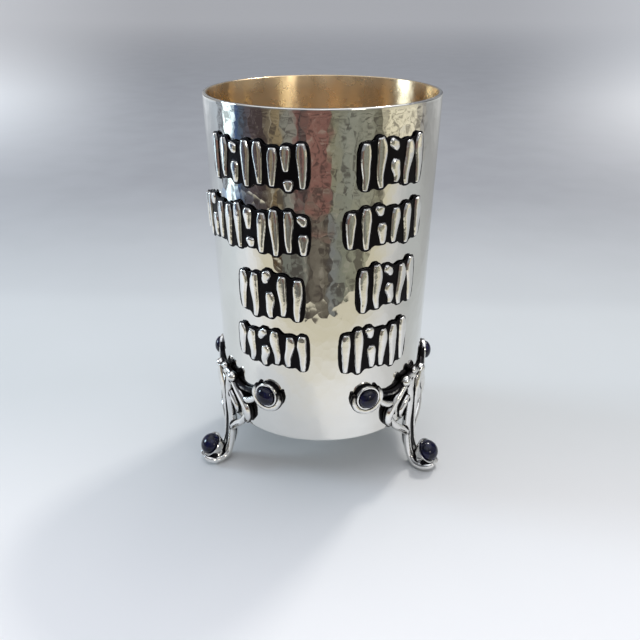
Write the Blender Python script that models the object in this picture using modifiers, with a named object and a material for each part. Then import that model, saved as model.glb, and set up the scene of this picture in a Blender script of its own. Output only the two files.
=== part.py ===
"""Hammered silver kiddush cup on three cast scroll feet, with raised word plaques and blue stones.

The cup stands on z = 0 with +Z up and its front towards -Y. One foot is at the back and two are at the
front, 120 degrees apart. Angles run round the cup from the front, positive towards +X.
"""
from math import cos, pi, radians, sin, tau

import bmesh
import bpy
from mathutils import Matrix, Vector

# Body, a tapered beaker raised from sheet
rim_radius = 0.0330
base_radius = 0.0309
body_height = 0.0954
wall = 0.0012
floor_thickness = 0.0016
edge_rounding = 0.0003
floor_fillet = 0.0040
body_facets = 72

# Feet, three castings of one pattern
foot_angles = {"left": -60, "right": 60, "back": 180}
foot_height = 0.0162
leg_reach = 0.0111
leg_half_width = 0.0016
rail_radius = 0.00105
scroll_height = 0.0185
scroll_depth = 0.0020
scroll_radius = 0.00115
sole_cut = 0.0003
toe_half_width = 0.0030
toe_half_length = 0.0030
toe_height = 0.0024
head_radius = 0.0016
crown_radius = 0.0011
crown_height = 0.0168
crown_spacing = 0.0019
crown_stand_off = 0.0014
foot_kept_faces = 0.37

# Stones, round cabochons in tube bezels
arm_stone_radius = 0.00285
arm_stone_dome = 0.0020
toe_stone_radius = 0.0033
toe_stone_dome = 0.0028
stone_girdle = 0.0009
stone_facets = 10
bezel_wall = 0.0005
bezel_height = 0.0019
seat_depth = 0.0010
arm_reach = 0.0180
arm_rise = 0.0142
ring_radius = 0.0011
toe_stone_tilt = 43
toe_bezel_back = 0.68

# Word plaques, thin blackened plates with raised strokes
plate_thickness = 0.0004
plate_margin = 0.0007
plate_dip = 0.0009
plate_shoulder = 0.0008
stroke_half_width = 0.00120
stroke_height = 0.0011
stroke_sink = 0.85
stroke_points = 4
stroke_lean = 0.07
stroke_bow = 0.09
stroke_turn = 1.9
bow_turn = 3.23
stroke_aside = 0.08
stroke_unevenness = 0.06
stroke_break = 0.09
high_break = 0.35
low_break = 0.65
plaque_fold_facets = 2
flat_angle = radians(0.5)

# Clearances
solder_gap = 0.0003
stone_gap = 0.00025
merge_distance = 0.00001
fused_merge_distance = 0.0000001
sliver_length = 0.00001


def wall_radius(height):
    """Outer radius of the body at a height above its lower edge."""
    return base_radius + (rim_radius - base_radius) * height / body_height


def on_wall(across, up, out):
    """Point at a distance round the wall, a height above the body's lower edge and a stand-off."""
    angle = across / base_radius
    radius = wall_radius(up) + out
    return Vector((radius * sin(angle), -radius * cos(angle), foot_height + up))


def collection(name):
    """New collection in the scene."""
    made = bpy.data.collections.new(name)
    bpy.context.scene.collection.children.link(made)
    return made


def material(name, colour, roughness, metallic):
    """Principled material with plain values."""
    made = bpy.data.materials.new(name)
    made.use_nodes = True
    shader = made.node_tree.nodes["Principled BSDF"]
    shader.inputs["Base Color"].default_value = (*colour, 1.0)
    shader.inputs["Roughness"].default_value = roughness
    shader.inputs["Metallic"].default_value = metallic
    return made


def working_object(data, name="shape"):
    """Object for a cutter or a shape that is about to be fused, kept out of the renders."""
    made = bpy.data.objects.new(name, data)
    guides.objects.link(made)
    made.hide_render = True
    made.display_type = "WIRE"
    return made


def evaluated_mesh(shape, weld=merge_distance):
    """The shape as modelled, as a mesh in world space with its doubles merged; the shape is removed."""
    graph = bpy.context.evaluated_depsgraph_get()
    mesh = bpy.data.meshes.new_from_object(shape.evaluated_get(graph))
    mesh.transform(shape.matrix_world)
    edit = bmesh.new()
    edit.from_mesh(mesh)
    bmesh.ops.remove_doubles(edit, verts=edit.verts, dist=weld)
    bmesh.ops.recalc_face_normals(edit, faces=edit.faces)
    edit.to_mesh(mesh)
    edit.free()
    bpy.data.objects.remove(shape)
    return mesh


def turned(name, profile, steps):
    """Closed turned shape from a profile that runs down its outer side at +X."""
    mesh = bpy.data.meshes.new(name)
    edit = bmesh.new()
    points = [edit.verts.new((radius, 0, height)) for radius, height in profile]
    for upper, lower in zip(points, points[1:]):
        edit.edges.new((upper, lower))
    edit.to_mesh(mesh)
    edit.free()
    shape = working_object(mesh, name)
    screw = shape.modifiers.new("Turn", "SCREW")
    screw.steps = steps
    screw.render_steps = steps
    screw.use_merge_vertices = True
    screw.merge_threshold = merge_distance
    return evaluated_mesh(shape)


def strand(points, depth, sides=6):
    """Tapering rod along a smooth curve: each point is a place and the rod's radius as a share of depth."""
    curve = bpy.data.curves.new("strand", "CURVE")
    curve.dimensions = "3D"
    curve.bevel_depth = depth
    curve.bevel_resolution = (sides - 4) // 2
    curve.use_fill_caps = True
    curve.resolution_u = 1
    spline = curve.splines.new("BEZIER")
    spline.bezier_points.add(len(points) - 1)
    for knot, (place, share) in zip(spline.bezier_points, points):
        knot.co = place
        knot.radius = share
        knot.handle_left_type = "AUTO"
        knot.handle_right_type = "AUTO"
    return evaluated_mesh(working_object(curve))


def ball(centre, radius, segments=8):
    """Cast bead."""
    mesh = bpy.data.meshes.new("ball")
    edit = bmesh.new()
    bmesh.ops.create_uvsphere(edit, u_segments=segments, v_segments=segments // 2 + 1, radius=radius)
    bmesh.ops.translate(edit, verts=edit.verts, vec=centre)
    edit.to_mesh(mesh)
    edit.free()
    return mesh


def drum(radius_back, radius_front, back, front, place):
    """Round plug or bezel along the local Z axis from back to front, set where place puts it."""
    mesh = bpy.data.meshes.new("drum")
    edit = bmesh.new()
    bmesh.ops.create_cone(edit, cap_ends=True, segments=stone_facets, radius1=radius_back,
                          radius2=radius_front, depth=front - back)
    bmesh.ops.translate(edit, verts=edit.verts, vec=(0, 0, (front + back) / 2))
    edit.to_mesh(mesh)
    edit.free()
    mesh.transform(place)
    return mesh


def boolean(base, operation, mesh):
    """Boolean modifier on the base; the exact solver leaves holes where many strands graze each other."""
    helper = working_object(mesh, "tool")
    join = base.modifiers.new(operation.title(), "BOOLEAN")
    join.operation = operation
    join.solver = "MANIFOLD"
    join.object = helper
    return helper


def fused(name, shapes, cuts=(), kept_faces=1.0):
    """One closed mesh: the shapes joined, lightened to a share of their faces and cut."""
    base = working_object(shapes[0], name)
    helpers = [boolean(base, "UNION", mesh) for mesh in shapes[1:]]
    if kept_faces < 1:
        lighten = base.modifiers.new("Lighten", "DECIMATE")
        lighten.ratio = kept_faces
        lighten.use_symmetry = True
        lighten.symmetry_axis = "X"
    helpers += [boolean(base, "DIFFERENCE", mesh) for mesh in cuts]
    mesh = evaluated_mesh(base, weld=fused_merge_distance)
    for helper in helpers:
        bpy.data.objects.remove(helper)
    edit = bmesh.new()
    edit.from_mesh(mesh)
    bmesh.ops.triangulate(edit, faces=edit.faces)
    bmesh.ops.dissolve_degenerate(edit, dist=sliver_length, edges=edit.edges)
    edit.to_mesh(mesh)
    edit.free()
    return mesh


def add_part(name, mesh, finish, turn=0.0, sharp=40):
    """Named sub-part on the cup's own axis, turned to its place round the cup."""
    made = bpy.data.objects.new(name, mesh)
    parts.objects.link(made)
    made.parent = cup_axis
    made.rotation_euler = (0, 0, turn)
    mesh.materials.clear()
    mesh.materials.append(finish)
    mesh.shade_smooth()
    mesh.set_sharp_from_angle(angle=radians(sharp))
    return made


def body_profile():
    """Half section of the beaker, from the rim down the outside, in under the base and up the inside."""
    top = foot_height + body_height
    floor = foot_height + floor_thickness
    inner_rim = rim_radius - wall
    inner_base = base_radius - wall
    profile = [(rim_radius - edge_rounding, top), (rim_radius, top - edge_rounding),
               (base_radius, foot_height + edge_rounding), (base_radius - edge_rounding, foot_height),
               (0, foot_height), (0, floor)]
    fillet_steps = 3
    for step in range(fillet_steps + 1):
        turn = pi / 2 * step / fillet_steps
        profile.append((inner_base - floor_fillet * (1 - sin(turn)), floor + floor_fillet * (1 - cos(turn))))
    profile += [(inner_rim, top - edge_rounding), (inner_rim + edge_rounding, top), profile[0]]
    return profile


def wall_cutter():
    """The body's outer form grown by the solder gap, which shapes the backs of the feet."""
    high = body_height + foot_height
    low = foot_height - solder_gap
    profile = [(0, foot_height + high), (wall_radius(high) + solder_gap, foot_height + high),
               (base_radius + solder_gap, low), (0, low)]
    return turned("wall_cutter", profile, body_facets)


def stone_mesh(radius, dome):
    """Cabochon with its seat face at zero: domed top, upright girdle, flat back."""
    dome_steps = 2
    profile = []
    for step in range(dome_steps + 1):
        turn = pi / 2 * step / dome_steps
        profile.append((radius * sin(turn), stone_girdle + dome * cos(turn)))
    return turned("stone", profile + [(radius, 0), (0, 0)], stone_facets)


def leg_points(line):
    """Points down the leg from (across, reach, drop), shares of its half width, reach and height."""
    return [Vector((across * leg_half_width, -(base_radius + reach * leg_reach), foot_height * (1 - drop)))
            for across, reach, drop in line]


def arm_frame(side):
    """Where an arm's bezel sits: local Z points straight out of the wall."""
    centre = on_wall(side * arm_reach, arm_rise, 0)
    facing = Matrix.Rotation(side * arm_reach / base_radius, 4, "Z") @ Matrix.Rotation(radians(90), 4, "X")
    return Matrix.Translation(centre) @ facing


def toe_frame():
    """Where the toe's bezel sits: local Z points out from the cup and up."""
    centre = leg_points([(0, 0.70, 0.66)])[0]
    return Matrix.Translation(centre) @ Matrix.Rotation(radians(90 - toe_stone_tilt), 4, "X")


def scroll_points(line):
    """Points on the wall from (across, up, out), shares of the arm's reach, scroll height and depth."""
    return [on_wall(across * arm_reach, up * scroll_height, out * scroll_depth) for across, up, out in line]


def scroll(side, line):
    """Strand on the wall, mirrored to one side; each point has the strand's thickness as its last value."""
    places = scroll_points([(side * across, up, out) for across, up, out, share in line])
    return strand([(place, point[-1]) for place, point in zip(places, line)], scroll_radius)


def side_scrolls(side):
    """The strands on one side of a foot: leaf, loop, inner leaf, neck and the ring round the arm's bezel."""
    leaf = [(0.20, 0.82, 0.70, 1.10), (0.33, 0.67, 0.72, 1.10), (0.47, 0.52, 0.66, 1.30),
            (0.57, 0.35, 0.58, 1.40), (0.58, 0.19, 0.52, 1.20), (0.53, 0.07, 0.46, 0.60)]
    loop = [(0.54, 0.22, 0.60, 0.80), (0.42, 0.04, 0.78, 0.95), (0.27, -0.09, 0.86, 1.00),
            (0.15, -0.20, 0.85, 1.05), (0.07, -0.30, 0.80, 0.80)]
    inner_leaf = [(0.12, 0.52, 0.80, 0.80), (0.24, 0.40, 0.80, 1.00), (0.31, 0.26, 0.72, 0.80),
                  (0.28, 0.13, 0.62, 0.45)]
    neck = [(0.20, 0.78, 0.50, 0.85), (0.48, 0.70, 0.42, 0.75), (0.80, 0.76, 0.42, 0.75)]
    bridge = [(0.45, 0.50, 0.62, 0.90), (0.63, 0.54, 0.55, 1.00), (0.80, 0.66, 0.50, 0.90)]
    shapes = [scroll(side, line) for line in (leaf, loop, inner_leaf, neck, bridge)]
    orbit = arm_stone_radius + stone_gap + bezel_wall + ring_radius / 2
    ring = []
    for step, share in enumerate((0.60, 1.00, 1.20, 1.20, 1.10, 0.90, 0.60)):
        turn = radians(140 + 40 * step)
        place = on_wall(side * (arm_reach + orbit * cos(turn)), arm_rise + orbit * sin(turn),
                        bezel_height / 2)
        ring.append((place, share))
    return shapes + [strand(ring, ring_radius)]


def leg_strands():
    """The leg: two rails with a sunk web between them, which spread at the toe into a spoon."""
    web = [(place, 1.15) for place in scroll_points([(0, 0.84, 0.35), (0, 0.45, 0.35), (0, 0.05, 0.40)])]
    web += zip(leg_points([(0, 0.08, 0.30), (0, 0.11, 0.50), (0, 0.20, 0.68), (0, 0.33, 0.82), (0, 0.52, 0.90)]),
               (1.50, 1.55, 1.45, 1.30, 1.15))
    shapes = [strand(web, scroll_radius)]
    for side in (-1, 1):
        upper = scroll_points([(side * 0.20, 0.82, 0.85), (side * 0.13, 0.62, 0.95),
                               (side * 0.10, 0.40, 0.95), (side * 0.095, 0.18, 0.88),
                               (side * 0.09, -0.04, 0.80)])
        lower = leg_points([(side, 0.16, 0.34), (side, 0.19, 0.54), (side * 1.05, 0.26, 0.72),
                            (side * 1.2, 0.40, 0.86), (side * 1.5, 0.63, 0.91), (side * 1.35, 0.86, 0.88),
                            (side * 0.6, 0.99, 0.83)])
        shares = (1.3, 1.1, 1.1, 1.1, 1.1, 1.1, 1.1, 1.15, 1.2, 1.25, 1.15, 0.9)
        shapes.append(strand(list(zip(upper + lower, shares)), rail_radius))
    return shapes


def toe_spoon():
    """Flattened bead that fills the toe under its bezel, with the sole at its lowest point."""
    mesh = ball((0, 0, 0), 1.0, segments=12)
    centre = leg_points([(0, 0.64, 1)])[0] + Vector((0, 0, toe_height - sole_cut))
    size = Matrix.Diagonal((toe_half_width, toe_half_length, toe_height, 1))
    mesh.transform(Matrix.Translation(centre) @ size)
    return mesh


def block_below_floor():
    """Cutter under the table plane, which cuts the soles flat."""
    mesh = bpy.data.meshes.new("ground")
    edit = bmesh.new()
    bmesh.ops.create_cube(edit, size=4 * rim_radius)
    bmesh.ops.translate(edit, verts=edit.verts, vec=(0, 0, -2 * rim_radius))
    edit.to_mesh(mesh)
    edit.free()
    return mesh


def add_bezel(shapes, place, radius, back_share, seat):
    """Bezel cup for a stone, narrower or not at its back, added to the shapes; returns its seat's cutter."""
    inside = radius + stone_gap
    outside = inside + bezel_wall
    shapes.append(drum(outside * back_share, outside, seat - bezel_height, seat + seat_depth, place))
    return drum(inside, inside, seat, seat + 2 * bezel_height, place)


def foot_mesh():
    """One foot at the front of the cup: scrolls, leg, toe and three bezels, cast in one."""
    shapes = leg_strands() + [toe_spoon()]
    for side in (-1, 1):
        shapes += side_scrolls(side)
        head = scroll_points([(side * 0.25, 0.82, 0.90)])[0]
        shapes.append(ball(head, head_radius))
    shapes.append(scroll(1, [(-0.22, 0.82, 0.6, 0.9), (0, 0.84, 0.6, 0.9), (0.22, 0.82, 0.6, 0.9)]))
    for height in (crown_height, crown_height - crown_spacing):
        shapes.append(ball(on_wall(0, height, crown_stand_off), crown_radius))

    seats = []
    for side in (-1, 1):
        seats.append(add_bezel(shapes, arm_frame(side), arm_stone_radius, 1.0, bezel_height - seat_depth))
    seats.append(add_bezel(shapes, toe_frame(), toe_stone_radius, toe_bezel_back, 0))
    return fused("foot", shapes, [wall_cutter(), *seats, block_below_floor()], foot_kept_faces)


def add_feet(foot_silver, stone_blue):
    """Three feet and the stones in their bezels."""
    foot = foot_mesh()
    stones = {"toe": stone_mesh(toe_stone_radius, toe_stone_dome)}
    stones["toe"].transform(toe_frame() @ Matrix.Translation((0, 0, stone_gap)))
    for label, side in (("arm_left", -1), ("arm_right", 1)):
        stones[label] = stone_mesh(arm_stone_radius, arm_stone_dome)
        seat = Matrix.Translation((0, 0, bezel_height - seat_depth + stone_gap))
        stones[label].transform(arm_frame(side) @ seat)
    for foot_name, degrees in foot_angles.items():
        turn = radians(degrees)
        add_part("foot_" + foot_name, foot, foot_silver, turn)
        for label, stone in stones.items():
            add_part("stone_" + foot_name + "_" + label, stone, stone_blue, turn)


# Each plaque: the angle it starts and ends at, the depth of its top and bottom edges below the rim as
# shares of the body's height, and the number of its strokes
plaques = {
    "word_left_1": (-56, -2, 0.085, 0.210, 8),
    "word_left_2": (-76, -2, 0.262, 0.395, 11),
    "word_left_3": (-42, -5, 0.445, 0.592, 5),
    "word_left_4": (-45, -3, 0.628, 0.748, 6),
    "word_right_1": (18, 54, 0.075, 0.212, 5),
    "word_right_2": (12, 56, 0.255, 0.375, 6),
    "word_right_3": (19, 54, 0.425, 0.565, 5),
    "word_right_4": (11, 51, 0.615, 0.762, 6),
}


def bent_round_wall(mesh):
    """Wrap a flat casting round the wall: x becomes the way round, y the height and z the stand-off."""
    edit = bmesh.new()
    edit.from_mesh(mesh)
    bmesh.ops.dissolve_limit(edit, angle_limit=flat_angle, verts=edit.verts, edges=edit.edges)
    fold = plaque_fold_facets * tau / body_facets * base_radius
    lines = [round(vertex.co.x / fold) for vertex in edit.verts]
    for line in range(min(lines), max(lines) + 1):
        geometry = [*edit.verts, *edit.edges, *edit.faces]
        bmesh.ops.bisect_plane(edit, geom=geometry, dist=fused_merge_distance,
                               plane_co=(line * fold, 0, 0), plane_no=(1, 0, 0))
    bmesh.ops.triangulate(edit, faces=edit.faces)
    for vertex in edit.verts:
        vertex.co = on_wall(*vertex.co)
    edit.to_mesh(mesh)
    edit.free()
    return mesh


def word_strokes(start, end, top, bottom, count):
    """Centre lines of a plaque's strokes, leaning tongues and broken pairs by turns, one list to a place."""
    inset = stroke_half_width + plate_margin
    pitch = (end - start - 2 * inset) / (count - 1)
    rise = top - bottom
    places = []
    for index in range(count):
        phase = stroke_turn * index + start / pitch
        middle = start + inset + pitch * index
        lean = pitch * stroke_lean * sin(phase)
        bow = pitch * stroke_bow * cos(bow_turn * index + start / pitch)
        high = top - rise * stroke_unevenness * (1 + sin(phase))
        low = bottom + rise * stroke_unevenness * (1 + cos(phase))
        spans = [(high, low, 0)]
        if index % 4 == 2:
            gap = rise * stroke_break
            split = high + (low - high) * (high_break if index % 8 == 2 else low_break)
            aside = pitch * stroke_aside
            spans = [(high, split + gap, -aside), (split - gap, low, aside)]
        strokes = []
        for upper, lower, aside in spans:
            line = []
            for step in range(stroke_points):
                share = step / (stroke_points - 1)
                up = upper + (lower - upper) * share
                across = middle + aside + lean * (1 - 2 * (top - up) / rise) + bow * sin(tau * share)
                line.append((min(max(across, start + inset), end - inset), up))
            strokes.append(line)
        places.append(strokes)
    return places


def plate(places, start, end, level):
    """Thin plate whose edge runs outside the strokes and dips between them."""
    upper = []
    lower = []
    for strokes in places:
        for edge, (across, up), side in ((upper, strokes[0][0], 1), (lower, strokes[-1][-1], -1)):
            outer = up + side * plate_margin
            if edge:
                last_across, last_up = edge[-1]
                middle = (last_across + across - plate_shoulder) / 2
                edge.append((middle, (last_up + outer) / 2 - side * plate_dip))
            for offset in (-plate_shoulder, plate_shoulder):
                edge.append((across + offset, outer))
    upper[0] = (start, upper[0][1] - plate_margin)
    lower[0] = (start, lower[0][1] + plate_margin)
    upper[-1] = (end, upper[-1][1] - plate_margin)
    lower[-1] = (end, lower[-1][1] + plate_margin)
    outline = [*upper, *reversed(lower)]
    curve = bpy.data.curves.new("plate", "CURVE")
    curve.dimensions = "2D"
    curve.fill_mode = "BOTH"
    curve.extrude = plate_thickness / 2
    spline = curve.splines.new("POLY")
    spline.points.add(len(outline) - 1)
    for point, (across, up) in zip(spline.points, outline):
        point.co = (across, up, 0, 1)
    spline.use_cyclic_u = True
    shape = working_object(curve)
    shape.location.z = level
    bpy.context.view_layer.update()
    return evaluated_mesh(shape)


def stroke(line, level):
    """Raised stroke, full at its head and tapering to its tip, its underside sunk in the plate."""
    thickest = len(line) // 3
    shares = [1 - 0.5 * max(0, step - thickest) / (len(line) - 1 - thickest) for step in range(len(line))]
    shares[0] = 0.8
    mesh = strand([((across, up, 0), share) for (across, up), share in zip(line, shares)],
                  stroke_half_width, sides=4)
    for vertex in mesh.vertices:
        depth = stroke_height if vertex.co.z > 0 else plate_thickness / 2
        vertex.co.z = level + vertex.co.z * depth / stroke_half_width
    return mesh


def add_plaques(black_silver):
    """Eight plaques in two columns, each a plate and its strokes in one casting."""
    for name, (first, last, top_share, bottom_share, count) in plaques.items():
        start = radians(first) * base_radius
        end = radians(last) * base_radius
        top = body_height * (1 - top_share)
        bottom = body_height * (1 - bottom_share)
        places = word_strokes(start, end, top, bottom, count)
        shapes = [plate(places, start, end, solder_gap + plate_thickness / 2)]
        shapes += [stroke(line, solder_gap + stroke_sink * plate_thickness)
                   for strokes in places for line in strokes]
        add_part(name, bent_round_wall(fused(name, shapes)), black_silver)


def centre_on_origin():
    """Move the cup's axis so that the whole object stands centred on the origin."""
    bpy.context.view_layer.update()
    points = [piece.matrix_world @ vertex.co for piece in parts.objects if piece.type == "MESH"
              for vertex in piece.data.vertices]
    cup_axis.location.x = -(min(p.x for p in points) + max(p.x for p in points)) / 2
    cup_axis.location.y = -(min(p.y for p in points) + max(p.y for p in points)) / 2


for old in list(bpy.data.objects):
    bpy.data.objects.remove(old)

parts = collection("kiddush_cup")
guides = collection("cutters")
cup_axis = bpy.data.objects.new("cup_axis", None)
parts.objects.link(cup_axis)

add_part("cup_body", turned("cup_body", body_profile(), body_facets),
         material("hammered_silver", (0.80, 0.79, 0.77), 0.15, 1.0))
add_feet(material("cast_silver", (0.72, 0.71, 0.69), 0.18, 1.0),
         material("blue_stone", (0.010, 0.012, 0.060), 0.05, 0.0))
add_plaques(material("blackened_silver", (0.45, 0.44, 0.43), 0.25, 1.0))
centre_on_origin()
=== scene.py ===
"""Looks of the hammered silver kiddush cup: polished and blackened silver, gilt bowl, blue cabochons."""
from math import cos, pi, radians, sin, tau

import bmesh
import bpy
import numpy as np
from mathutils import Matrix, Vector


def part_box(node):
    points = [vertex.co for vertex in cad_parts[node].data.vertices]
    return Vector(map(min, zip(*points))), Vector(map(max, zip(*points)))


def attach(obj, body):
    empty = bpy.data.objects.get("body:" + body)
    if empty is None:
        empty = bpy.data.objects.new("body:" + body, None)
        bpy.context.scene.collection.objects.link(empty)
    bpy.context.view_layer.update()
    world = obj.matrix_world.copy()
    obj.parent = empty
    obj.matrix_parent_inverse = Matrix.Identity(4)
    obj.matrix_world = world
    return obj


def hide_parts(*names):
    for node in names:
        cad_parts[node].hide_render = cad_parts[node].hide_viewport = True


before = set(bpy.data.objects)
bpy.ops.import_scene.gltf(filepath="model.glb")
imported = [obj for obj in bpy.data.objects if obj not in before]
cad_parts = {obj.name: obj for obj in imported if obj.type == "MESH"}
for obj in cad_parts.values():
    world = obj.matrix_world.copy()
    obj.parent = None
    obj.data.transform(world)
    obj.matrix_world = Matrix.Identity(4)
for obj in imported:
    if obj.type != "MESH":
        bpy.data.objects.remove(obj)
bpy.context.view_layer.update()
bpy.ops.object.select_all(action="DESELECT")


# The cup: one sheet of silver raised with a hammer, polished outside and gilt inside. Its lip is filed
# flat and left plain. The planishing marks are shallow dents a few millimetres across, part of the finish.
cup_low, cup_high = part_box("cup_body")
cup_axis = Vector(((cup_low.x + cup_high.x) / 2, (cup_low.y + cup_high.y) / 2, 0))
cup_height = cup_high.z - cup_low.z
rim_radius = (cup_high.x - cup_low.x) / 2
base_radius = 0.0309
wall = 0.0012
floor_thickness = 0.0016
floor_fillet = 0.004
floor_ring = 0.012
lip_rounding = 0.00035
segments = 384
wall_rings = 140
inside_rings = 24
lip_turns = [pi / 6 * step for step in range(4)]
fillet_turns = [pi / 12 * step for step in range(1, 7)]


def wall_radius(up):
    """Outer radius of the cup at a height above its lower edge."""
    return base_radius + (rim_radius - base_radius) * up / cup_height


class Wire:
    """A node's output, so that shader maths reads as plain sums. Its node method adds any other node."""

    def __init__(self, tree, socket=None):
        self.tree = tree
        self.socket = socket

    def node(self, kind, settings=(), sockets=(), output=0):
        """New node with its settings made first and its sockets given values or wires."""
        made = self.tree.nodes.new(kind)
        for name, value in dict(settings).items():
            if name == "stops":
                ramp = made.color_ramp
                while len(ramp.elements) < len(value):
                    ramp.elements.new(0.5)
                for element, (place, colour) in zip(ramp.elements, value):
                    element.position = place
                    element.color = (*colour, 1)
            else:
                setattr(made, name, value)
        for name, value in dict(sockets).items():
            if isinstance(value, Wire):
                self.tree.links.new(value.socket, made.inputs[name])
            else:
                made.inputs[name].default_value = value
        return Wire(self.tree, made.outputs[output])

    def maths(self, operation, *values):
        """Math node on these values in their order."""
        return self.node("ShaderNodeMath", {"operation": operation}, dict(enumerate(values)))

    def __add__(self, other):
        return self.maths("ADD", self, other)

    __radd__ = __add__

    def __sub__(self, other):
        return self.maths("SUBTRACT", self, other)

    def __rsub__(self, other):
        return self.maths("SUBTRACT", other, self)

    def __mul__(self, other):
        return self.maths("MULTIPLY", self, other)

    __rmul__ = __mul__

    def __truediv__(self, other):
        return self.maths("DIVIDE", self, other)

    def __pow__(self, other):
        return self.maths("POWER", self, other)

    def between(self, low, high):
        """0 below low, 1 above high and a smooth ramp between them."""
        return self.node("ShaderNodeMapRange", {"interpolation_type": "SMOOTHSTEP"},
                         {"Value": self, "From Min": low, "From Max": high})

    def mix(self, factor, first, second):
        """Colour that goes from the first to the second with the factor."""
        made = self.node("ShaderNodeMix", {"data_type": "RGBA"}, {0: factor}, output=2)
        for place, value in ((6, first), (7, second)):
            if isinstance(value, Wire):
                self.tree.links.new(value.socket, made.socket.node.inputs[place])
            else:
                made.socket.node.inputs[place].default_value = (*value, 1)
        return made

    def noise(self, vector, scale, detail=2.0, roughness=0.5):
        """Noise of about 0 to 1 on a vector."""
        return self.node("ShaderNodeTexNoise", {}, {"Vector": vector, "Scale": scale, "Detail": detail,
                                                    "Roughness": roughness})


def new_finish(name):
    """Material with a Principled shader, as (material, Wire to add nodes, the shader)."""
    made = bpy.data.materials.new(name)
    made.use_nodes = True
    return made, Wire(made.node_tree), made.node_tree.nodes["Principled BSDF"]


def connect(wire, socket):
    """Wire led to a shader's socket."""
    wire.tree.links.new(wire.socket, socket)


fine_mark_depth = 0.00004
fine_mark_wander = (0.0016, 0.0016, 0.0026)
fine_mark_stretch = (1, 1, 0.7)


def bump(wires, height):
    """Normals that follow a height in metres."""
    return wires.node("ShaderNodeBump", {}, {"Height": height, "Distance": 1.0, "Strength": 1.0})


def fine_hammer_marks(wires, marks_a_metre, scales):
    """Height of the finest planishing marks: shallow long dents that meet in soft ridges."""
    place = wires.node("ShaderNodeTexCoord", output=3)
    wander = wires.node("ShaderNodeTexNoise", {}, {"Vector": place, "Scale": marks_a_metre * 0.6}, output=1)
    bent = wires.node("ShaderNodeVectorMath", {"operation": "MULTIPLY_ADD"},
                      {0: wander, 1: fine_mark_wander, 2: place})
    longer = wires.node("ShaderNodeVectorMath", {"operation": "MULTIPLY"}, {0: bent, 1: fine_mark_stretch})
    height = 0.0
    for scale, share in scales:
        distance = wires.node("ShaderNodeTexVoronoi", {"feature": "SMOOTH_F1"},
                              {"Vector": longer, "Scale": marks_a_metre * scale, "Smoothness": 0.12})
        height = distance * distance * (fine_mark_depth * share) + height
    return height


hammered_silver, wires, shader = new_finish("hammered_silver")
place = wires.node("ShaderNodeTexCoord", output=3)
silver_tone = wires.noise(place, 45, 3).between(0.3, 0.7)
connect(wires.mix(silver_tone, (0.79, 0.775, 0.73), (0.85, 0.84, 0.80)), shader.inputs["Base Color"])
connect(wires.noise(place, 180, 4).between(0.35, 0.8) * 0.05 + 0.035, shader.inputs["Roughness"])
connect(bump(wires, fine_hammer_marks(wires, 250, [(1.0, 1), (1.9, 1)])), shader.inputs["Normal"])
shader.inputs["Metallic"].default_value = 1

gilt, wires, shader = new_finish("gilt")
place = wires.node("ShaderNodeTexCoord", output=3)
gold_tone = wires.noise(place, 60, 3).between(0.3, 0.7)
connect(wires.mix(gold_tone, (0.81, 0.62, 0.38), (0.87, 0.68, 0.44)), shader.inputs["Base Color"])
connect(wires.noise(place, 220, 4).between(0.3, 0.8) * 0.06 + 0.26, shader.inputs["Roughness"])
connect(bump(wires, fine_hammer_marks(wires, 240, [(1.0, 1), (1.9, 0.3)])), shader.inputs["Normal"])
shader.inputs["Metallic"].default_value = 1
shader.inputs["Anisotropic"].default_value = 0.96
shader.inputs["Anisotropic Rotation"].default_value = 0.25

bpy.ops.mesh.primitive_circle_add(vertices=segments, radius=base_radius - lip_rounding, fill_type="NGON",
                                  location=(cup_axis.x, cup_axis.y, cup_low.z))
cup = bpy.context.object
cup.name = "hammered_cup"
ring_radius = base_radius - lip_rounding
ring_height = cup_low.z
profile = []
for turn in lip_turns[1:]:
    profile.append((base_radius - lip_rounding * (1 - sin(turn)), cup_low.z + lip_rounding * (1 - cos(turn))))
for step in range(1, wall_rings + 1):
    up = lip_rounding + (cup_height - 2 * lip_rounding) * step / wall_rings
    profile.append((wall_radius(up), cup_low.z + up))
for turn in lip_turns[1:]:
    profile.append((rim_radius - lip_rounding * (1 - cos(turn)), cup_high.z - lip_rounding * (1 - sin(turn))))
for turn in lip_turns:
    profile.append((rim_radius - wall + lip_rounding * (1 - sin(turn)),
                    cup_high.z - lip_rounding * (1 - cos(turn))))
inside_low = floor_thickness + floor_fillet
for step in range(1, inside_rings + 1):
    up = cup_height - lip_rounding + (inside_low - cup_height + lip_rounding) * step / inside_rings
    profile.append((wall_radius(up) - wall, cup_low.z + up))
for turn in fillet_turns:
    profile.append((wall_radius(inside_low) - wall - floor_fillet * (1 - cos(turn)),
                    cup_low.z + inside_low - floor_fillet * sin(turn)))
profile.append((floor_ring, cup_low.z + floor_thickness))
bpy.ops.object.mode_set(mode="EDIT")
bpy.ops.mesh.select_all(action="SELECT")
for radius, height in profile:
    bpy.ops.mesh.extrude_region_move(TRANSFORM_OT_translate={"value": (0, 0, height - ring_height)})
    share = radius / ring_radius
    bpy.ops.transform.resize(value=(share, share, 1), center_override=(cup_axis.x, cup_axis.y, height))
    ring_radius, ring_height = radius, height
bpy.ops.mesh.select_all(action="SELECT")
bpy.ops.mesh.normals_make_consistent(inside=False)
bpy.ops.object.mode_set(mode="OBJECT")


def settle(piece):
    """Place, turn and scale of a finished piece put into its mesh, with its origin at the world's."""
    bpy.ops.object.select_all(action="DESELECT")
    piece.select_set(True)
    bpy.context.view_layer.objects.active = piece
    bpy.ops.object.transform_apply(location=True, rotation=True, scale=True)


def vertex_places(piece):
    """The piece's vertices as an array with a row for each."""
    places = np.empty(len(piece.data.vertices) * 3)
    piece.data.vertices.foreach_get("co", places)
    return places.reshape(-1, 3)


def move_vertices(piece, places):
    """The piece's vertices put to new places."""
    piece.data.vertices.foreach_set("co", places.ravel())
    piece.data.update()


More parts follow.
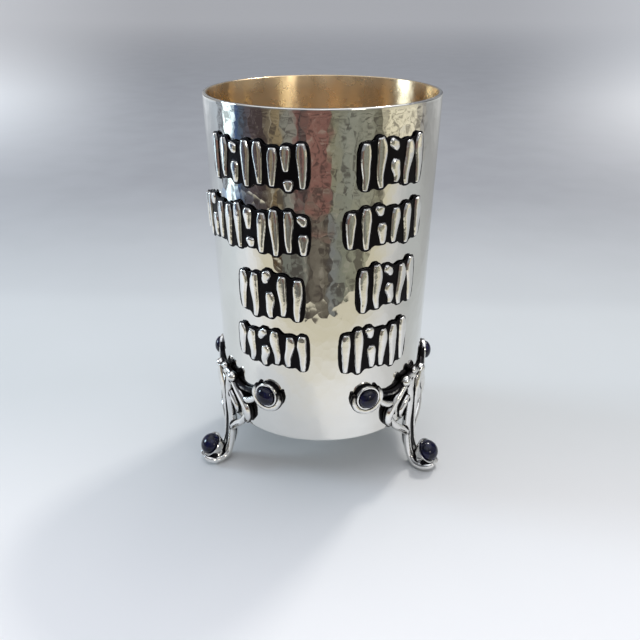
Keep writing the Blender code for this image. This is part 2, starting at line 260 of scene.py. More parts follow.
settle(cup)

# The larger planishing marks are real dents in the wall, in jittered rows, a little higher than wide.
mark_width = 0.0041
mark_height = 0.0058
mark_depth = 0.000095
mark_jitter = 0.42
mark_edge = 0.62
spare_rows = 2
plain_edge = 0.0004
edge_fade = 0.0012
places = vertex_places(cup)
sideways, onward = places[:, 0] - cup_axis.x, places[:, 1] - cup_axis.y
radius = np.hypot(sideways, onward)
up = places[:, 2] - cup_low.z
columns = round(tau * base_radius / mark_width)
rows = round(cup_height / mark_height)
chance = np.random.default_rng(5)
jitter = chance.uniform(-mark_jitter, mark_jitter, (rows + 2 * spare_rows, columns, 2))
column = np.arctan2(onward, sideways) / tau * columns
row = up / cup_height * rows
nearest = np.full(len(places), np.inf)
for step_row in (-1, 0, 1, 2):
    for step_column in (-1, 0, 1, 2):
        middle_row = np.floor(row).astype(int) + step_row
        middle_column = np.floor(column).astype(int) + step_column
        moved = jitter[np.clip(middle_row + spare_rows, 0, len(jitter) - 1), middle_column % columns]
        away = np.hypot(column - middle_column - moved[:, 0], row - middle_row - moved[:, 1])
        nearest = np.minimum(nearest, away)
on_outside = (radius > wall_radius(up) - lip_rounding * 0.1) & (up > lip_rounding * 0.9)
fade = np.clip(np.minimum(up - plain_edge, cup_height - plain_edge - up) / edge_fade, 0, 1)
dent = on_outside * fade * mark_depth * np.maximum(mark_edge - nearest ** 2, 0)
places[:, 0] -= dent * sideways / np.maximum(radius, lip_rounding)
places[:, 1] -= dent * onward / np.maximum(radius, lip_rounding)
move_vertices(cup, places)

cup.data.materials.append(hammered_silver)
cup.data.materials.append(gilt)
for face in cup.data.polygons:
    middle = Vector(face.center) - cup_axis
    middle.z -= cup_low.z
    radius = Vector((middle.x, middle.y)).length
    inside = radius < wall_radius(middle.z) - wall * 0.55 and middle.z > floor_thickness * 0.9
    face.material_index = 1 if inside else 0
bpy.ops.object.shade_smooth_by_angle(angle=radians(50))
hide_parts("cup_body")
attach(cup, "root")


# The words: eight thin plates with raised strokes, cast in silver, blackened and polished on top, and
# soldered to the wall in two columns. The strokes are rounded tongues that swell and taper. Each word has its
# start and end in degrees round the wall, its top and bottom as shares of the height, and its stroke count.
plate_thickness = 0.0004
plate_margin = 0.0007
plate_dip = 0.0009
plate_shoulder = 0.0008
stroke_half_width = 0.00120
stroke_height = 0.0011
stroke_shares = (0.75, 1.05, 1.10, 1.0, 0.90, 0.80, 0.70, 0.52)
stroke_seat = 0.85
stroke_turn = 1.9
bow_turn = 3.23
stroke_lean = 0.07
stroke_bow = 0.09
stroke_stagger = 0.06
stroke_aside = 0.08
high_break = 0.35
low_break = 0.65
break_gap = 0.09
corner_cut = 0.22
solder_gap = 0.0003
filed_gap = solder_gap * 0.3
word_voxel = 0.00017
flat_from = 0.00040
flat_range = 0.00045
word_rounds = 30
word_stand_off_black = (0.00005, 0.00028)
word_hollow_black = (0.00012, 0.00030)
words = {
    "word_left_1": (-56, -2, 0.085, 0.210, 8), "word_left_2": (-76, -2, 0.262, 0.395, 11),
    "word_left_3": (-42, -5, 0.445, 0.592, 5), "word_left_4": (-45, -3, 0.628, 0.748, 6),
    "word_right_1": (18, 54, 0.075, 0.212, 5), "word_right_2": (12, 56, 0.255, 0.375, 6),
    "word_right_3": (19, 54, 0.425, 0.565, 5), "word_right_4": (11, 51, 0.615, 0.762, 6),
}


def rod(points, thickness):
    """Tapering rod along a smooth curve through points of (place, radius as a share of thickness)."""
    bpy.ops.curve.primitive_bezier_curve_add()
    made = bpy.context.object
    curve = made.data
    curve.bevel_depth = thickness
    curve.bevel_resolution = 3
    curve.use_fill_caps = True
    curve.resolution_u = 5
    spline = curve.splines[0]
    spline.bezier_points.add(len(points) - 2)
    for knot, (spot, share) in zip(spline.bezier_points, points):
        knot.co = spot
        knot.radius = share
        knot.handle_left_type = "AUTO"
        knot.handle_right_type = "AUTO"
    return made


def cast_in_one(shapes, voxel, name):
    """The shapes fused to one skin, as metal runs together in a mould."""
    bpy.ops.object.select_all(action="DESELECT")
    for shape in shapes:
        shape.select_set(True)
    bpy.context.view_layer.objects.active = shapes[0]
    bpy.ops.object.convert(target="MESH")
    bpy.ops.object.join()
    made = bpy.context.object
    made.name = name
    settle(made)
    remesh = made.modifiers.new("Cast", "REMESH")
    remesh.mode = "VOXEL"
    remesh.voxel_size = voxel
    bpy.ops.object.modifier_apply(modifier="Cast")
    soften = made.modifiers.new("Soften", "SMOOTH")
    soften.factor = 0.5
    soften.iterations = 4
    bpy.ops.object.modifier_apply(modifier="Soften")
    return made


def round_the_wall(flat):
    """Places bent round the cup: x becomes the way round, y the height and z the stand-off."""
    turn = flat[:, 0] / base_radius
    radius = wall_radius(flat[:, 1]) + flat[:, 2]
    return np.column_stack((cup_axis.x + radius * np.sin(turn), cup_axis.y - radius * np.cos(turn),
                            cup_low.z + flat[:, 1]))


def hollows(piece, rounds):
    """How far each vertex lies below its surroundings, in metres, after so many rounds of smoothing."""
    places = vertex_places(piece)
    count = len(places)
    ends = np.empty(len(piece.data.edges) * 2, dtype=np.int32)
    piece.data.edges.foreach_get("vertices", ends)
    first, second = ends[0::2], ends[1::2]
    shared = np.bincount(ends, minlength=count)[:, None]
    smooth = places.copy()
    for _ in range(rounds):
        sums = np.column_stack([np.bincount(first, smooth[second, axis], count)
                                + np.bincount(second, smooth[first, axis], count) for axis in range(3)])
        smooth = sums / shared
    normals = np.empty(count * 3)
    piece.data.vertices.foreach_get("normal", normals)
    return ((smooth - places) * normals.reshape(-1, 3)).sum(axis=1)


def note(piece, name, values):
    """Number on every vertex, which the material reads by its name."""
    attribute = piece.data.attributes.new(name, "FLOAT", "POINT")
    attribute.data.foreach_set("value", values.astype(np.float32))


def ramp(values, low, high):
    """0 below low, 1 above high and a smooth rise between them."""
    share = np.clip((values - low) / (high - low), 0, 1)
    return share * share * (3 - 2 * share)


def word_strokes(start, end, top, bottom, count):
    """Centre lines of a word's strokes, leaning tongues and broken pairs by turns, one list to a place."""
    inset = stroke_half_width + plate_margin
    pitch = (end - start - 2 * inset) / (count - 1)
    rise = top - bottom
    places = []
    for index in range(count):
        phase = stroke_turn * index + start / pitch
        middle = start + inset + pitch * index
        lean = pitch * stroke_lean * sin(phase)
        bow = pitch * stroke_bow * cos(bow_turn * index + start / pitch)
        high = top - rise * stroke_stagger * (1 + sin(phase))
        low = bottom + rise * stroke_stagger * (1 + cos(phase))
        spans = [(high, low, 0)]
        if index % 4 == 2:
            split = high + (low - high) * (high_break if index % 8 == 2 else low_break)
            spans = [(high, split + rise * break_gap, -pitch * stroke_aside),
                     (split - rise * break_gap, low, pitch * stroke_aside)]
        strokes = []
        for upper, lower, aside in spans:
            line = []
            for step in range(len(stroke_shares)):
                share = step / (len(stroke_shares) - 1)
                up = upper + (lower - upper) * share
                across = middle + aside + lean * (1 - 2 * (top - up) / rise) + bow * sin(tau * share)
                line.append((min(max(across, start + inset), end - inset), up))
            strokes.append(line)
        places.append(strokes)
    return places


def plate(places, start, end):
    """Thin plate whose soft edge runs outside the strokes and dips between them."""
    upper = []
    lower = []
    for strokes in places:
        for edge, (across, up), side in ((upper, strokes[0][0], 1), (lower, strokes[-1][-1], -1)):
            outer = up + side * plate_margin
            if edge:
                last_across, last_up = edge[-1]
                middle = (last_across + across - plate_shoulder) / 2
                edge.append((middle, (last_up + outer) / 2 - side * plate_dip))
            for offset in (-plate_shoulder, plate_shoulder):
                edge.append((across + offset, outer))
    upper[0] = (start, upper[0][1] - plate_margin)
    lower[0] = (start, lower[0][1] + plate_margin)
    upper[-1] = (end, upper[-1][1] - plate_margin)
    lower[-1] = (end, lower[-1][1] + plate_margin)
    outline = [*upper, *reversed(lower)]
    for _ in range(2):
        corners = []
        for (here_x, here_y), (next_x, next_y) in zip(outline, outline[1:] + outline[:1]):
            for here, onward in ((1 - corner_cut, corner_cut), (corner_cut, 1 - corner_cut)):
                corners.append((here_x * here + next_x * onward, here_y * here + next_y * onward))
        outline = corners
    bpy.ops.mesh.primitive_plane_add(size=1)
    made = bpy.context.object
    made.data.clear_geometry()
    edit = bmesh.new()
    edit.faces.new([edit.verts.new((across, up, 0)) for across, up in outline])
    edit.to_mesh(made.data)
    edit.free()
    thicken = made.modifiers.new("Plate", "SOLIDIFY")
    thicken.thickness = plate_thickness
    thicken.offset = 0
    made.location.z = solder_gap + plate_thickness / 2
    return made


def raised_stroke(line):
    """Rounded tongue of metal, full at its head and thinner at its foot, standing on the plate."""
    points = [((across, up, 0), share) for (across, up), share in zip(line, stroke_shares)]
    made = rod(points, stroke_half_width)
    made.scale.z = stroke_height / stroke_half_width
    made.location.z = solder_gap + plate_thickness * stroke_seat
    return made


blackened_silver, wires, shader = new_finish("blackened_silver")
place = wires.node("ShaderNodeTexCoord", output=3)
# The attribute holds real black patina in hollows and on the words' plates; on the feet it also holds painted
# shade.
black = wires.node("ShaderNodeAttribute", {"attribute_name": "patina"}, output=2)
grime = wires.noise(place, 900, 4, 0.6)
mask = (black + (grime - 0.5) * 0.8).between(0.25, 0.75)
bright = wires.mix(wires.noise(place, 260, 3).between(0.3, 0.7), (0.84, 0.83, 0.80), (0.93, 0.92, 0.90))
connect(wires.mix(mask, bright, (0.013, 0.012, 0.014)), shader.inputs["Base Color"])
connect(mask * 0.36 + wires.noise(place, 500, 3).between(0.3, 0.8) * 0.06 + 0.07, shader.inputs["Roughness"])
shader.inputs["Metallic"].default_value = 1
cast_skin = wires.noise(place, 600, 3, 0.5) * 0.00006 + wires.noise(place, 3200, 2, 0.6) * 0.000008
connect(bump(wires, cast_skin), shader.inputs["Normal"])

for name, (first, last, top_share, bottom_share, count) in words.items():
    start = radians(first) * base_radius
    end = radians(last) * base_radius
    places = word_strokes(start, end, cup_height * (1 - top_share), cup_height * (1 - bottom_share), count)
    shapes = [plate(places, start, end)]
    shapes += [raised_stroke(line) for strokes in places for line in strokes]
    word = cast_in_one(shapes, word_voxel, name + "_raised")
    flat = vertex_places(word)
    flat[:, 2] = np.maximum(flat[:, 2], filed_gap)
    stand_off = flat[:, 2] - solder_gap - plate_thickness
    over = np.maximum(stand_off - flat_from, 0)
    flat[:, 2] -= over - flat_range * (1 - np.exp(-over / flat_range))
    deep = hollows(word, word_rounds)
    patina = np.maximum(1 - ramp(stand_off, *word_stand_off_black), ramp(deep, *word_hollow_black))
    move_vertices(word, round_the_wall(flat))
    note(word, "patina", patina)
    word.data.materials.clear()
    word.data.materials.append(blackened_silver)
    bpy.ops.object.shade_smooth()
    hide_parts(name)
    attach(word, "root")


# The feet: three castings of one pattern, scrolls and a double rail that runs down to a spoon-shaped toe,
# soldered to the lower part of the wall. The hollows are left black and the high parts polished; the black
# also holds painted shade on the flanks of the scrolls and where the feet and bezels stand close to the wall.
foot_height = cup_low.z
leg_reach = 0.0111
leg_half_width = 0.0016
rail_radius = 0.00105
scroll_height = 0.0185
scroll_depth = 0.0020
scroll_radius = 0.00115
arm_reach = 0.0180
arm_rise = 0.0142
arm_stone_radius = 0.00285
toe_stone_radius = 0.0033
stone_gap = 0.00025
bezel_wall = 0.0005
bezel_height = 0.0019
seat_depth = 0.0010
seat_middle = 0.0004
seat_clearance = 0.0002
arm_seat = bezel_height - seat_depth
orbit_radius = 0.0011
head_bead_radius = 0.0016
middle_bead_radius = 0.0011
middle_bead_heights = (0.0168, 0.0149)
middle_bead_out = 0.0014
toe_stone_tilt = 43
toe_bezel_back = 0.68
spoon_radius = 0.0030
spoon_height = 0.0024
sole_filed_off = 0.0003
crease_width = 0.00018
polished_patina = 0.22
broad_rounds = 120
broad_hollow_patina_and_shade = (-0.00022, 0.00008)
crease_rounds = 30
crease_black = (0.00002, 0.00010)
near_wall_painted_shade = (0.0012, 0.0022)
bezel_painted_shade = (0.0013, 0.0016)
foot_voxel = 0.000155
feet = {"foot_left": -60, "foot_right": 60, "foot_back": 180}


def on_wall(across, up, out):
    """Point at a distance round the wall, a height above the cup's lower edge and a stand-off."""
    turn = across / base_radius
    radius = wall_radius(up) + out
    return cup_axis + Vector((radius * sin(turn), -radius * cos(turn), cup_low.z + up))


def scroll_points(line):
    """Points on the wall from (across, up, out), shares of the arm's reach, scroll height and depth."""
    return [on_wall(across * arm_reach, up * scroll_height, out * scroll_depth) for across, up, out in line]


def leg_points(line):
    """Points down the leg from (across, reach, drop), shares of its half width, reach and height."""
    return [cup_axis + Vector((across * leg_half_width, -(base_radius + reach * leg_reach),
                               foot_height * (1 - drop))) for across, reach, drop in line]


def scroll(side, line):
    """Rod on the wall, mirrored to one side; each point has the rod's thickness as its last value."""
    spots = scroll_points([(side * across, up, out) for across, up, out, _ in line])
    return rod([(spot, point[-1]) for spot, point in zip(spots, line)], scroll_radius)


def bead(spot, radius):
    """Cast bead."""
    bpy.ops.mesh.primitive_uv_sphere_add(segments=24, ring_count=16, radius=radius, location=spot)
    return bpy.context.object


def arm_frame(side):
    """Where an arm's bezel sits: local Z points straight out of the wall."""
    facing = Matrix.Rotation(side * arm_reach / base_radius, 4, "Z") @ Matrix.Rotation(radians(90), 4, "X")
    return Matrix.Translation(on_wall(side * arm_reach, arm_rise, 0)) @ facing


def toe_frame():
    """Where the toe's bezel sits: local Z points out from the cup and up."""
    spot = leg_points([(0, 0.70, 0.66)])[0]
    return Matrix.Translation(spot) @ Matrix.Rotation(radians(90 - toe_stone_tilt), 4, "X")


def bezel(place, radius, back_share, seat):
    """Turned bezel cup with a thin burnished lip, set where place puts it."""
    inside = radius + stone_gap
    outside = inside + bezel_wall
    low = seat - bezel_height
    high = seat + seat_depth
    lip = bezel_wall * 0.35
    outline = [(outside * back_share, low), (outside, high - lip), (outside - lip * 0.4, high),
               (inside + lip * 0.4, high), (inside, high - lip), (inside, seat), (seat_middle, seat)]
    if back_share == 1:
        groove = outside - bezel_wall * 0.5
        outline[1:1] = [(outside, low + bezel_height * 0.42), (groove, low + bezel_height * 0.52),
                        (groove, low + bezel_height * 0.70), (outside, low + bezel_height * 0.82)]
    bpy.ops.mesh.primitive_circle_add(vertices=64, radius=outline[0][0], fill_type="NGON",
                                      location=(0, 0, low))
    made = bpy.context.object
    bpy.ops.object.mode_set(mode="EDIT")
    bpy.ops.mesh.select_all(action="SELECT")
    for (was_radius, was_height), (radius_now, height_now) in zip(outline, outline[1:]):
        bpy.ops.mesh.extrude_region_move(TRANSFORM_OT_translate={"value": (0, 0, height_now - was_height)})
        share = radius_now / was_radius
        bpy.ops.transform.resize(value=(share, share, 1), center_override=(0, 0, height_now))
    bpy.ops.mesh.select_all(action="SELECT")
    bpy.ops.mesh.normals_make_consistent(inside=False)
    bpy.ops.object.mode_set(mode="OBJECT")
    settle(made)
    made.matrix_world = place
    settle(made)
    return made


def side_scrolls(side):
    """Rods on one side of a foot: leaf, loop, inner leaf, neck, bridge and the ring round the arm's bezel."""
    leaf = [(0.20, 0.82, 0.70, 1.10), (0.33, 0.67, 0.72, 1.10), (0.47, 0.52, 0.66, 1.30),
            (0.57, 0.35, 0.58, 1.40), (0.58, 0.19, 0.52, 1.20), (0.53, 0.07, 0.46, 0.60)]
    loop = [(0.54, 0.22, 0.60, 0.80), (0.42, 0.04, 0.78, 0.95), (0.27, -0.09, 0.86, 1.00),
            (0.15, -0.20, 0.85, 1.05), (0.07, -0.30, 0.80, 0.80)]
    inner_leaf = [(0.12, 0.52, 0.80, 0.80), (0.24, 0.40, 0.80, 1.00), (0.31, 0.26, 0.72, 0.80),
                  (0.28, 0.13, 0.62, 0.45)]
    neck = [(0.20, 0.78, 0.50, 0.85), (0.48, 0.70, 0.42, 0.75), (0.80, 0.76, 0.42, 0.75)]
    bridge = [(0.45, 0.50, 0.62, 0.90), (0.63, 0.54, 0.55, 1.00), (0.80, 0.66, 0.50, 0.90)]
    shapes = [scroll(side, line) for line in (leaf, loop, inner_leaf, neck, bridge)]
    orbit = arm_stone_radius + stone_gap + bezel_wall + orbit_radius / 2
    ring = []
    for step, share in enumerate((0.60, 1.00, 1.20, 1.20, 1.10, 0.90, 0.60)):
        turn = radians(140 + 40 * step)
        ring.append((on_wall(side * (arm_reach + orbit * cos(turn)), arm_rise + orbit * sin(turn),
                             bezel_height / 2), share))
    return shapes + [rod(ring, orbit_radius)]


def leg_rods():
    """The leg: two rails with a sunk web between them, which spread at the toe into a spoon."""
    web_spots = scroll_points([(0, 0.84, 0.35), (0, 0.45, 0.35), (0, 0.05, 0.40)])
    web_spots += leg_points([(0, 0.08, 0.30), (0, 0.11, 0.50), (0, 0.20, 0.68), (0, 0.33, 0.82),
                             (0, 0.52, 0.90)])
    web_shares = (1.15, 1.15, 1.15, 1.50, 1.55, 1.45, 1.30, 1.15)
    shapes = [rod(list(zip(web_spots, web_shares)), scroll_radius)]
    for side in (-1, 1):
        upper = scroll_points([(side * 0.20, 0.82, 0.85), (side * 0.13, 0.62, 0.95),
                               (side * 0.10, 0.40, 0.95), (side * 0.095, 0.18, 0.88),
                               (side * 0.09, -0.04, 0.80)])
        lower = leg_points([(side, 0.16, 0.34), (side, 0.19, 0.54), (side * 1.05, 0.26, 0.72),
                            (side * 1.2, 0.40, 0.86), (side * 1.5, 0.63, 0.91), (side * 1.35, 0.86, 0.88),
                            (side * 0.6, 0.99, 0.83)])
        shares = (1.3, 1.1, 1.1, 1.1, 1.1, 1.1, 1.1, 1.15, 1.2, 1.25, 1.15, 0.9)
        shapes.append(rod(list(zip(upper + lower, shares)), rail_radius))
    return shapes


def toe_spoon():
    """Flattened bead that fills the toe under its bezel; the sole is filed off its lowest part."""
    spot = leg_points([(0, 0.64, 1)])[0] + Vector((0, 0, spoon_height - sole_filed_off))
    made = bead(spot, 1)
    made.scale = (spoon_radius, spoon_radius, spoon_height)
    return made


shapes = leg_rods() + [toe_spoon()]
for side in (-1, 1):
    shapes += side_scrolls(side)
    shapes.append(bead(scroll_points([(side * 0.25, 0.82, 0.90)])[0], head_bead_radius))
shapes.append(scroll(1, [(-0.22, 0.82, 0.6, 0.9), (0, 0.84, 0.6, 0.9), (0.22, 0.82, 0.6, 0.9)]))
for height in middle_bead_heights:
    shapes.append(bead(on_wall(0, height, middle_bead_out), middle_bead_radius))
casting = cast_in_one(shapes, foot_voxel, "foot_casting")

# The casting's back is filed to the wall, its sole to the table, and its seats are cut for the stones.
spots = vertex_places(casting)
axis_place = np.array(cup_axis[:2])
away = spots[:, :2] - axis_place
radius = np.hypot(away[:, 0], away[:, 1])
least = wall_radius(spots[:, 2] - cup_low.z) + filed_gap
against = (spots[:, 2] > cup_low.z - solder_gap) & (radius < least)
spots[against, :2] = axis_place + away[against] * (least[against] / radius[against])[:, None]
spots[:, 2] = np.maximum(spots[:, 2], 0)
stone_settings = [(arm_frame(-1), arm_stone_radius, 1, arm_seat),
                  (arm_frame(1), arm_stone_radius, 1, arm_seat),
                  (toe_frame(), toe_stone_radius, toe_bezel_back, 0)]
creases = np.zeros(len(spots))
for place, stone_radius, _, seat in stone_settings:
    back = np.array(place.inverted())
    local = spots @ back[:3, :3].T + back[:3, 3]
    from_middle = np.hypot(local[:, 0], local[:, 1]) - stone_radius - stone_gap
    inside = (from_middle < bezel_wall * 0.5) & (local[:, 2] > seat - seat_clearance)
    creases[(from_middle < bezel_wall + crease_width) & (local[:, 2] > seat - bezel_height)] = 1
    local[inside, 2] = seat - seat_clearance
    front = np.array(place)
    spots[inside] = local[inside] @ front[:3, :3].T + front[:3, 3]
move_vertices(casting, spots)


def stand_offs(places):
    """How far each place stands out from the cup's wall."""
    return np.hypot(*(places[:, :2] - axis_place).T) - wall_radius(places[:, 2] - cup_low.z)


# Black patina in the hollows, spread onto the flanks of the scrolls as painted shade, so that only the crests
# stay bright.
deep = ramp(hollows(casting, broad_rounds), *broad_hollow_patina_and_shade)
# Painted shade: the casting is darkened where it stands close to the wall, above the cup's lower edge.
near_wall = (1 - ramp(stand_offs(spots), *near_wall_painted_shade)) * (spots[:, 2] > cup_low.z)
creases += ramp(hollows(casting, crease_rounds), *crease_black)
note(casting, "patina", np.clip(deep + near_wall + creases, polished_patina, 1))
bezels = [bezel(*setting) for setting in stone_settings]
# Painted shade: each bezel is darkened where it stands close to the wall.
for bezel_cup in bezels:
    note(bezel_cup, "patina", 1 - ramp(stand_offs(vertex_places(bezel_cup)), *bezel_painted_shade))
bpy.ops.object.select_all(action="DESELECT")
for piece in (casting, *bezels):
    piece.select_set(True)
bpy.context.view_layer.objects.active = casting
bpy.ops.object.join()
casting.data.materials.clear()
casting.data.materials.append(blackened_silver)
bpy.ops.object.shade_smooth_by_angle(angle=radians(40))


def round_the_cup(pattern, name, degrees):
    """Copy of a piece with its own mesh, turned round the cup's axis."""
    made = bpy.data.objects.new(name, pattern.data.copy())
    bpy.context.scene.collection.objects.link(made)
    turn = Matrix.Rotation(radians(degrees), 4, "Z")
    made.data.transform(Matrix.Translation(cup_axis) @ turn @ Matrix.Translation(-cup_axis))
    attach(made, "root")
    return made


for node, degrees in feet.items():
    foot = round_the_cup(casting, node + "_cast", degrees)
    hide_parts(node)
bpy.data.objects.remove(casting)


# The stones: dark blue cabochons, 6 mm on the arms and 7 mm on the toes, domed and polished, each held by
# the burnished lip of its bezel.
blue_stone, wires, shader = new_finish("blue_stone")
place = wires.node("ShaderNodeTexCoord", output=3)
cloud = wires.noise(place, 420, 5, 0.6)
fleck = wires.noise(place, 2600, 2, 0.7).between(0.70, 0.78)
deep_blue = wires.mix(cloud.between(0.35, 0.72), (0.0015, 0.002, 0.008), (0.004, 0.005, 0.045))
connect(wires.mix(fleck * 0.25, deep_blue, (0.02, 0.025, 0.10)), shader.inputs["Base Color"])
connect(wires.noise(place, 800, 2).between(0.3, 0.8) * 0.05 + 0.03, shader.inputs["Roughness"])
shader.inputs["IOR"].default_value = 1.45
stone_girdle = 0.0009
girdle_steepness = 3
arm_dome = 0.0020
toe_dome = 0.00271
stone_domes = {"arm_left": arm_dome, "arm_right": arm_dome, "toe": toe_dome}
for (label, dome), (place, radius, _, seat) in zip(stone_domes.items(), stone_settings):
    bpy.ops.mesh.primitive_uv_sphere_add(segments=64, ring_count=48, radius=radius, location=(0, 0, 0))
    stone = bpy.context.object
    spots = vertex_places(stone)
    upper = spots[:, 2] > 0
    spots[upper, 2] *= dome / radius
    spots[~upper, 2] = np.maximum(spots[~upper, 2] * girdle_steepness, -stone_girdle)
    spots[:, 2] += stone_girdle + seat + stone_gap
    move_vertices(stone, spots)
    stone.data.transform(place)
    stone.data.materials.append(blue_stone)
    bpy.ops.object.shade_smooth_by_angle(angle=radians(40))
    for node, degrees in feet.items():
        node_name = node.replace("foot", "stone") + "_" + label
        cabochon = round_the_cup(stone, node_name + "_polished", degrees)
        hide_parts(node_name)
    bpy.data.objects.remove(stone)


# The table: pale paper under and behind the cup, with a painted pool of light in front, painted shade further
# back and painted light at its sides. To a mirror it ends in front of the cup, where a dim room begins in
# broad bands of tone, painted on the paper as glowing painted reflections. The polished wall shows that
# painted room.
paper, wires, shader = new_finish("paper")
place = wires.node("ShaderNodeTexCoord", output=3)
split = wires.node("ShaderNodeSeparateXYZ", {}, {"Vector": place})
across = Wire(wires.tree, split.socket.node.outputs[0])
along = Wire(wires.tree, split.socket.node.outputs[1])
fibre = wires.noise(place, 30, 3)
# Painted light: a pool of light painted on the paper in front of the cup.
painted_light_pool = 1 - along.between(-0.11, 0.03)
# Painted shade: the paper darkens from the front towards the back, then lightens again far off; a faint
# darker step crosses it.
tone = wires.mix(along.between(0.03, 0.34), (0.60, 0.62, 0.63), (0.31, 0.315, 0.335))
tone = wires.mix(along.between(0.6, 2.6), tone, (0.60, 0.595, 0.60))
tone = wires.mix(along.between(0.092, 0.115) * 0.10, tone, (0.28, 0.285, 0.31))
tone = wires.mix(painted_light_pool, tone, (0.90, 0.885, 0.89))
# Painted light: the paper is painted lighter towards the sides.
aslant = wires.maths("ABSOLUTE", across + along * 0.0507) / (along + 0.30)
painted_side_light = aslant.between(0.18, 0.50) * along.between(0.15, 0.80) * (1 - along.between(0.7, 2.4) * 0.3)
tone = wires.mix(painted_side_light, tone, (0.97, 0.97, 0.97))
connect(wires.mix(fibre.between(0.2, 0.8) * 0.06, tone, (0.70, 0.71, 0.76)), shader.inputs["Base Color"])
shader.inputs["Roughness"].default_value = 0.75
shader.inputs["Specular IOR Level"].default_value = 0.2
# Painted reflections: a room with a bright window, painted as glowing bands that only mirrored rays see.
reach = (across ** 2 + along ** 2) ** 0.5
angle = wires.maths("ARCTAN2", across, -1 * along)
wobble = wires.noise(place, 26, 3, 0.6) - 0.5
bearing = angle / radians(240) + 0.5 + wobble * 0.02
ahead_dim = angle.between(-0.80, -0.76) * (1 - angle.between(0.98, 1.12))
ahead_dim = ahead_dim * (1 - along.between(-0.147, -0.143))
left_dim = (1 - angle.between(-0.80, -0.76)) * angle.between(-2.0, -1.9) * reach.between(0.27, 0.29)
right_dim = angle.between(1.0, 1.1) * (1 - angle.between(1.9, 2.1)) * reach.between(0.40, 0.46)
front = wires.maths("MAXIMUM", wires.maths("MAXIMUM", ahead_dim, left_dim), right_dim)
mottle = wires.node("ShaderNodeCombineXYZ", {}, {"X": bearing * 30, "Y": reach * 14})
patches = wires.noise(mottle, 1.6, 3, 0.6)
painted_far_room = wires.node("ShaderNodeValToRGB", {"stops": [
    (0.04, (0.18, 0.20, 0.23)), (0.07, (0.20, 0.23, 0.27)), (0.082, (0.80, 0.95, 1.0)),
    (0.128, (0.75, 0.92, 1.0)), (0.145, (0.03, 0.06, 0.14)), (0.185, (0.045, 0.06, 0.085)),
    (0.22, (0.05, 0.04, 0.045)), (0.28, (0.03, 0.022, 0.022)), (0.305, (0.09, 0.075, 0.055)),
    (0.345, (0.14, 0.11, 0.065)), (0.37, (0.12, 0.12, 0.105)), (0.395, (0.13, 0.125, 0.11)),
    (0.41, (0.10, 0.05, 0.045)), (0.44, (0.035, 0.028, 0.028)), (0.465, (0.12, 0.062, 0.052)),
    (0.535, (0.11, 0.055, 0.047)), (0.55, (0.12, 0.115, 0.08)), (0.60, (0.13, 0.135, 0.115)),
    (0.70, (0.14, 0.14, 0.11)), (0.745, (0.07, 0.065, 0.045)), (0.765, (0.42, 0.39, 0.29)),
    (0.90, (0.46, 0.43, 0.34)), (0.95, (0.20, 0.195, 0.185))]}, {"Fac": bearing})
painted_near_room = wires.node("ShaderNodeValToRGB", {"stops": [
    (0.10, (0.30, 0.45, 0.70)), (0.16, (0.10, 0.14, 0.20)), (0.30, (0.06, 0.05, 0.035)),
    (0.335, (0.07, 0.045, 0.02)), (0.36, (0.085, 0.09, 0.08)), (0.44, (0.095, 0.097, 0.085)),
    (0.465, (0.05, 0.045, 0.037)), (0.49, (0.085, 0.076, 0.062)), (0.53, (0.07, 0.063, 0.05)),
    (0.545, (0.10, 0.105, 0.105)), (0.60, (0.11, 0.115, 0.09)), (0.70, (0.20, 0.195, 0.14))]},
                        {"Fac": bearing})
room = wires.mix(reach.between(0.22, 0.34), painted_near_room, painted_far_room)
room = wires.mix(patches.between(0.51, 0.58) * 0.7, room, (0.022, 0.017, 0.016))
room = wires.mix((1 - patches.between(0.30, 0.42)) * 0.5, room, (0.21, 0.195, 0.165))
rays = wires.node("ShaderNodeLightPath")
mirrored = Wire(wires.tree, rays.socket.node.outputs["Is Glossy Ray"])
painted_room_glow = wires.node("ShaderNodeEmission", {}, {"Color": room, "Strength": 2.0})
painted_cream_glow = wires.node("ShaderNodeEmission", {}, {"Color": (0.62, 0.57, 0.40, 1), "Strength": 1.0})
painted_dusk_glow = wires.node("ShaderNodeEmission", {}, {"Color": (0.24, 0.235, 0.20, 1), "Strength": 1.0})
sheet_shader = Wire(wires.tree, shader.outputs[0])
# Painted reflections for mirrored rays only: a cream glow near the front, a darker glow at the sides, and the
# painted room.
painted_lamp_reflection = mirrored * (1 - along.between(-0.135, -0.05)) * 0.8
lit = wires.node("ShaderNodeMixShader", {}, {0: mirrored * across.between(0.03, 0.16) * 0.4, 1: sheet_shader,
                                             2: painted_dusk_glow})
lit = wires.node("ShaderNodeMixShader", {}, {0: painted_lamp_reflection, 1: lit, 2: painted_cream_glow})
lit = wires.node("ShaderNodeMixShader", {}, {0: mirrored * front, 1: lit, 2: painted_room_glow})
output = wires.tree.nodes["Material Output"]
wires.tree.links.new(lit.socket, output.inputs["Surface"])
bpy.ops.mesh.primitive_plane_add(size=24, location=(0, 0, 0))
table = bpy.context.object
table.name = "table"
table.data.materials.append(paper)


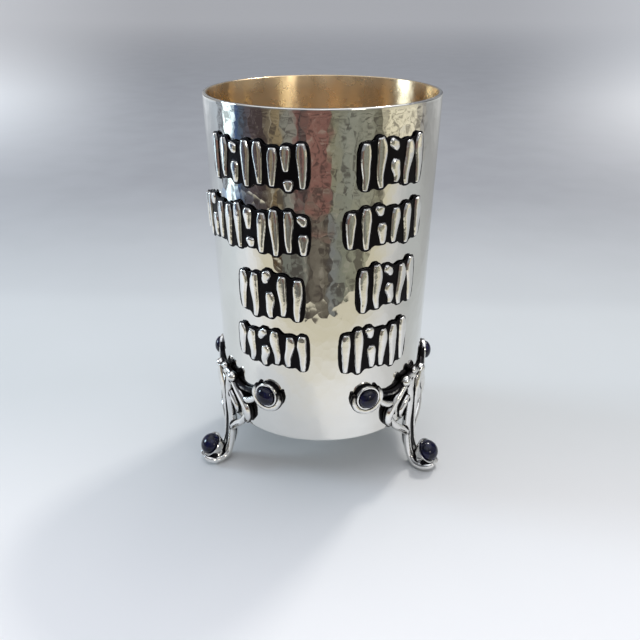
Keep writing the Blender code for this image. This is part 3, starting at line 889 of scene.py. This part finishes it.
# The light: a small bright window and its wide curtain high behind to the right, a cool window at the left, a
# warm lamp in front, and the pale room all round, which a mirror sees as soft bands.
world = bpy.data.worlds.new("room")
bpy.context.scene.world = world
bpy.context.scene.view_settings.view_transform = "Standard"
world.use_nodes = True
wires = Wire(world.node_tree)
look = wires.node("ShaderNodeTexCoord", output=0)
split = wires.node("ShaderNodeSeparateXYZ", {}, {"Vector": look})
sideways, onward, upwards = (Wire(wires.tree, split.socket.node.outputs[axis]) for axis in range(3))
bearing = wires.maths("ARCTAN2", sideways, onward)
ring = wires.node("ShaderNodeCombineXYZ", {}, {"X": wires.maths("SINE", bearing),
                                               "Y": wires.maths("COSINE", bearing), "Z": upwards * 0.3})
bands = wires.noise(ring, 3.2, 3, 0.6)
rays = wires.node("ShaderNodeLightPath")
mirrored = Wire(wires.tree, rays.socket.node.outputs["Is Glossy Ray"])
seen = Wire(wires.tree, rays.socket.node.outputs["Is Camera Ray"])
plain = wires.maths("MAXIMUM", upwards, 0) ** 2 * 1.55 + 0.03
banded = bands.between(0.38, 0.62) * 0.35 + 0.14 + upwards.between(0.55, 0.85) * 0.9
brightness = plain * (1 - mirrored) * (1 - seen) + banded * mirrored + seen * 0.45
tint = wires.mix(bands.between(0.45, 0.6), (0.80, 0.84, 0.92), (0.92, 0.93, 0.95))
wires.tree.links.new(tint.socket, world.node_tree.nodes["Background"].inputs["Color"])
wires.tree.links.new(brightness.socket, world.node_tree.nodes["Background"].inputs["Strength"])


light_aim = cup_axis + Vector((0, 0, 0.05))


def soft_light(name, direction, distance, size, power, colour):
    """Square soft light in a direction from the cup, facing it."""
    lamp = bpy.data.lights.new(name, "AREA")
    lamp.shape = "SQUARE"
    lamp.size = size
    lamp.energy = power
    lamp.color = colour
    made = bpy.data.objects.new(name, lamp)
    bpy.context.scene.collection.objects.link(made)
    made.location = light_aim + Vector(direction).normalized() * distance
    made.rotation_euler = (made.location - light_aim).to_track_quat("Z", "Y").to_euler()


soft_light("window_right", (0.40, 0.58, 1.12), 0.9, 0.09, 2.1, (1.0, 0.97, 0.92))
soft_light("curtain_right", (0.40, 0.58, 1.12), 1.0, 0.50, 1.1, (1.0, 0.97, 0.92))
soft_light("window_left", (-1.0, 0.12, 0.34), 1.1, 0.30, 5.0, (0.66, 0.84, 1.0))
soft_light("lamp_front", (0.78, -1.0, 0.50), 1.2, 0.20, 1.0, (1.0, 0.95, 0.82))


# The camera stands at the photograph's height and turn, with its focal length.
focal_pixels = 722.1
picture_pixels = 640
camera_distance = 0.2075
camera_above_rim = 0.0282
camera_pitch = radians(25.47)
camera_yaw = radians(-0.18)
camera_round_cup = radians(2.9)
sensor_width = 36
camera_turn = Matrix.Rotation(camera_round_cup, 3, "Z")
ahead = camera_turn @ Vector((sin(camera_yaw) * cos(camera_pitch), cos(camera_yaw) * cos(camera_pitch),
                              -sin(camera_pitch)))
rightward = camera_turn @ Vector((cos(camera_yaw), -sin(camera_yaw), 0))
upward = rightward.cross(ahead)
camera = bpy.data.objects.new("camera", bpy.data.cameras.new("camera"))
bpy.context.scene.collection.objects.link(camera)
camera.data.sensor_width = sensor_width
camera.data.lens = focal_pixels / picture_pixels * sensor_width
camera.data.clip_start = 0.01
camera.data.clip_end = 100
placement = Matrix((rightward, upward, -ahead)).transposed().to_4x4()
placement.translation = (cup_axis + camera_turn @ Vector((0, -camera_distance, 0))
                         + Vector((0, 0, cup_high.z + camera_above_rim)))
camera.matrix_world = placement
bpy.context.scene.camera = camera
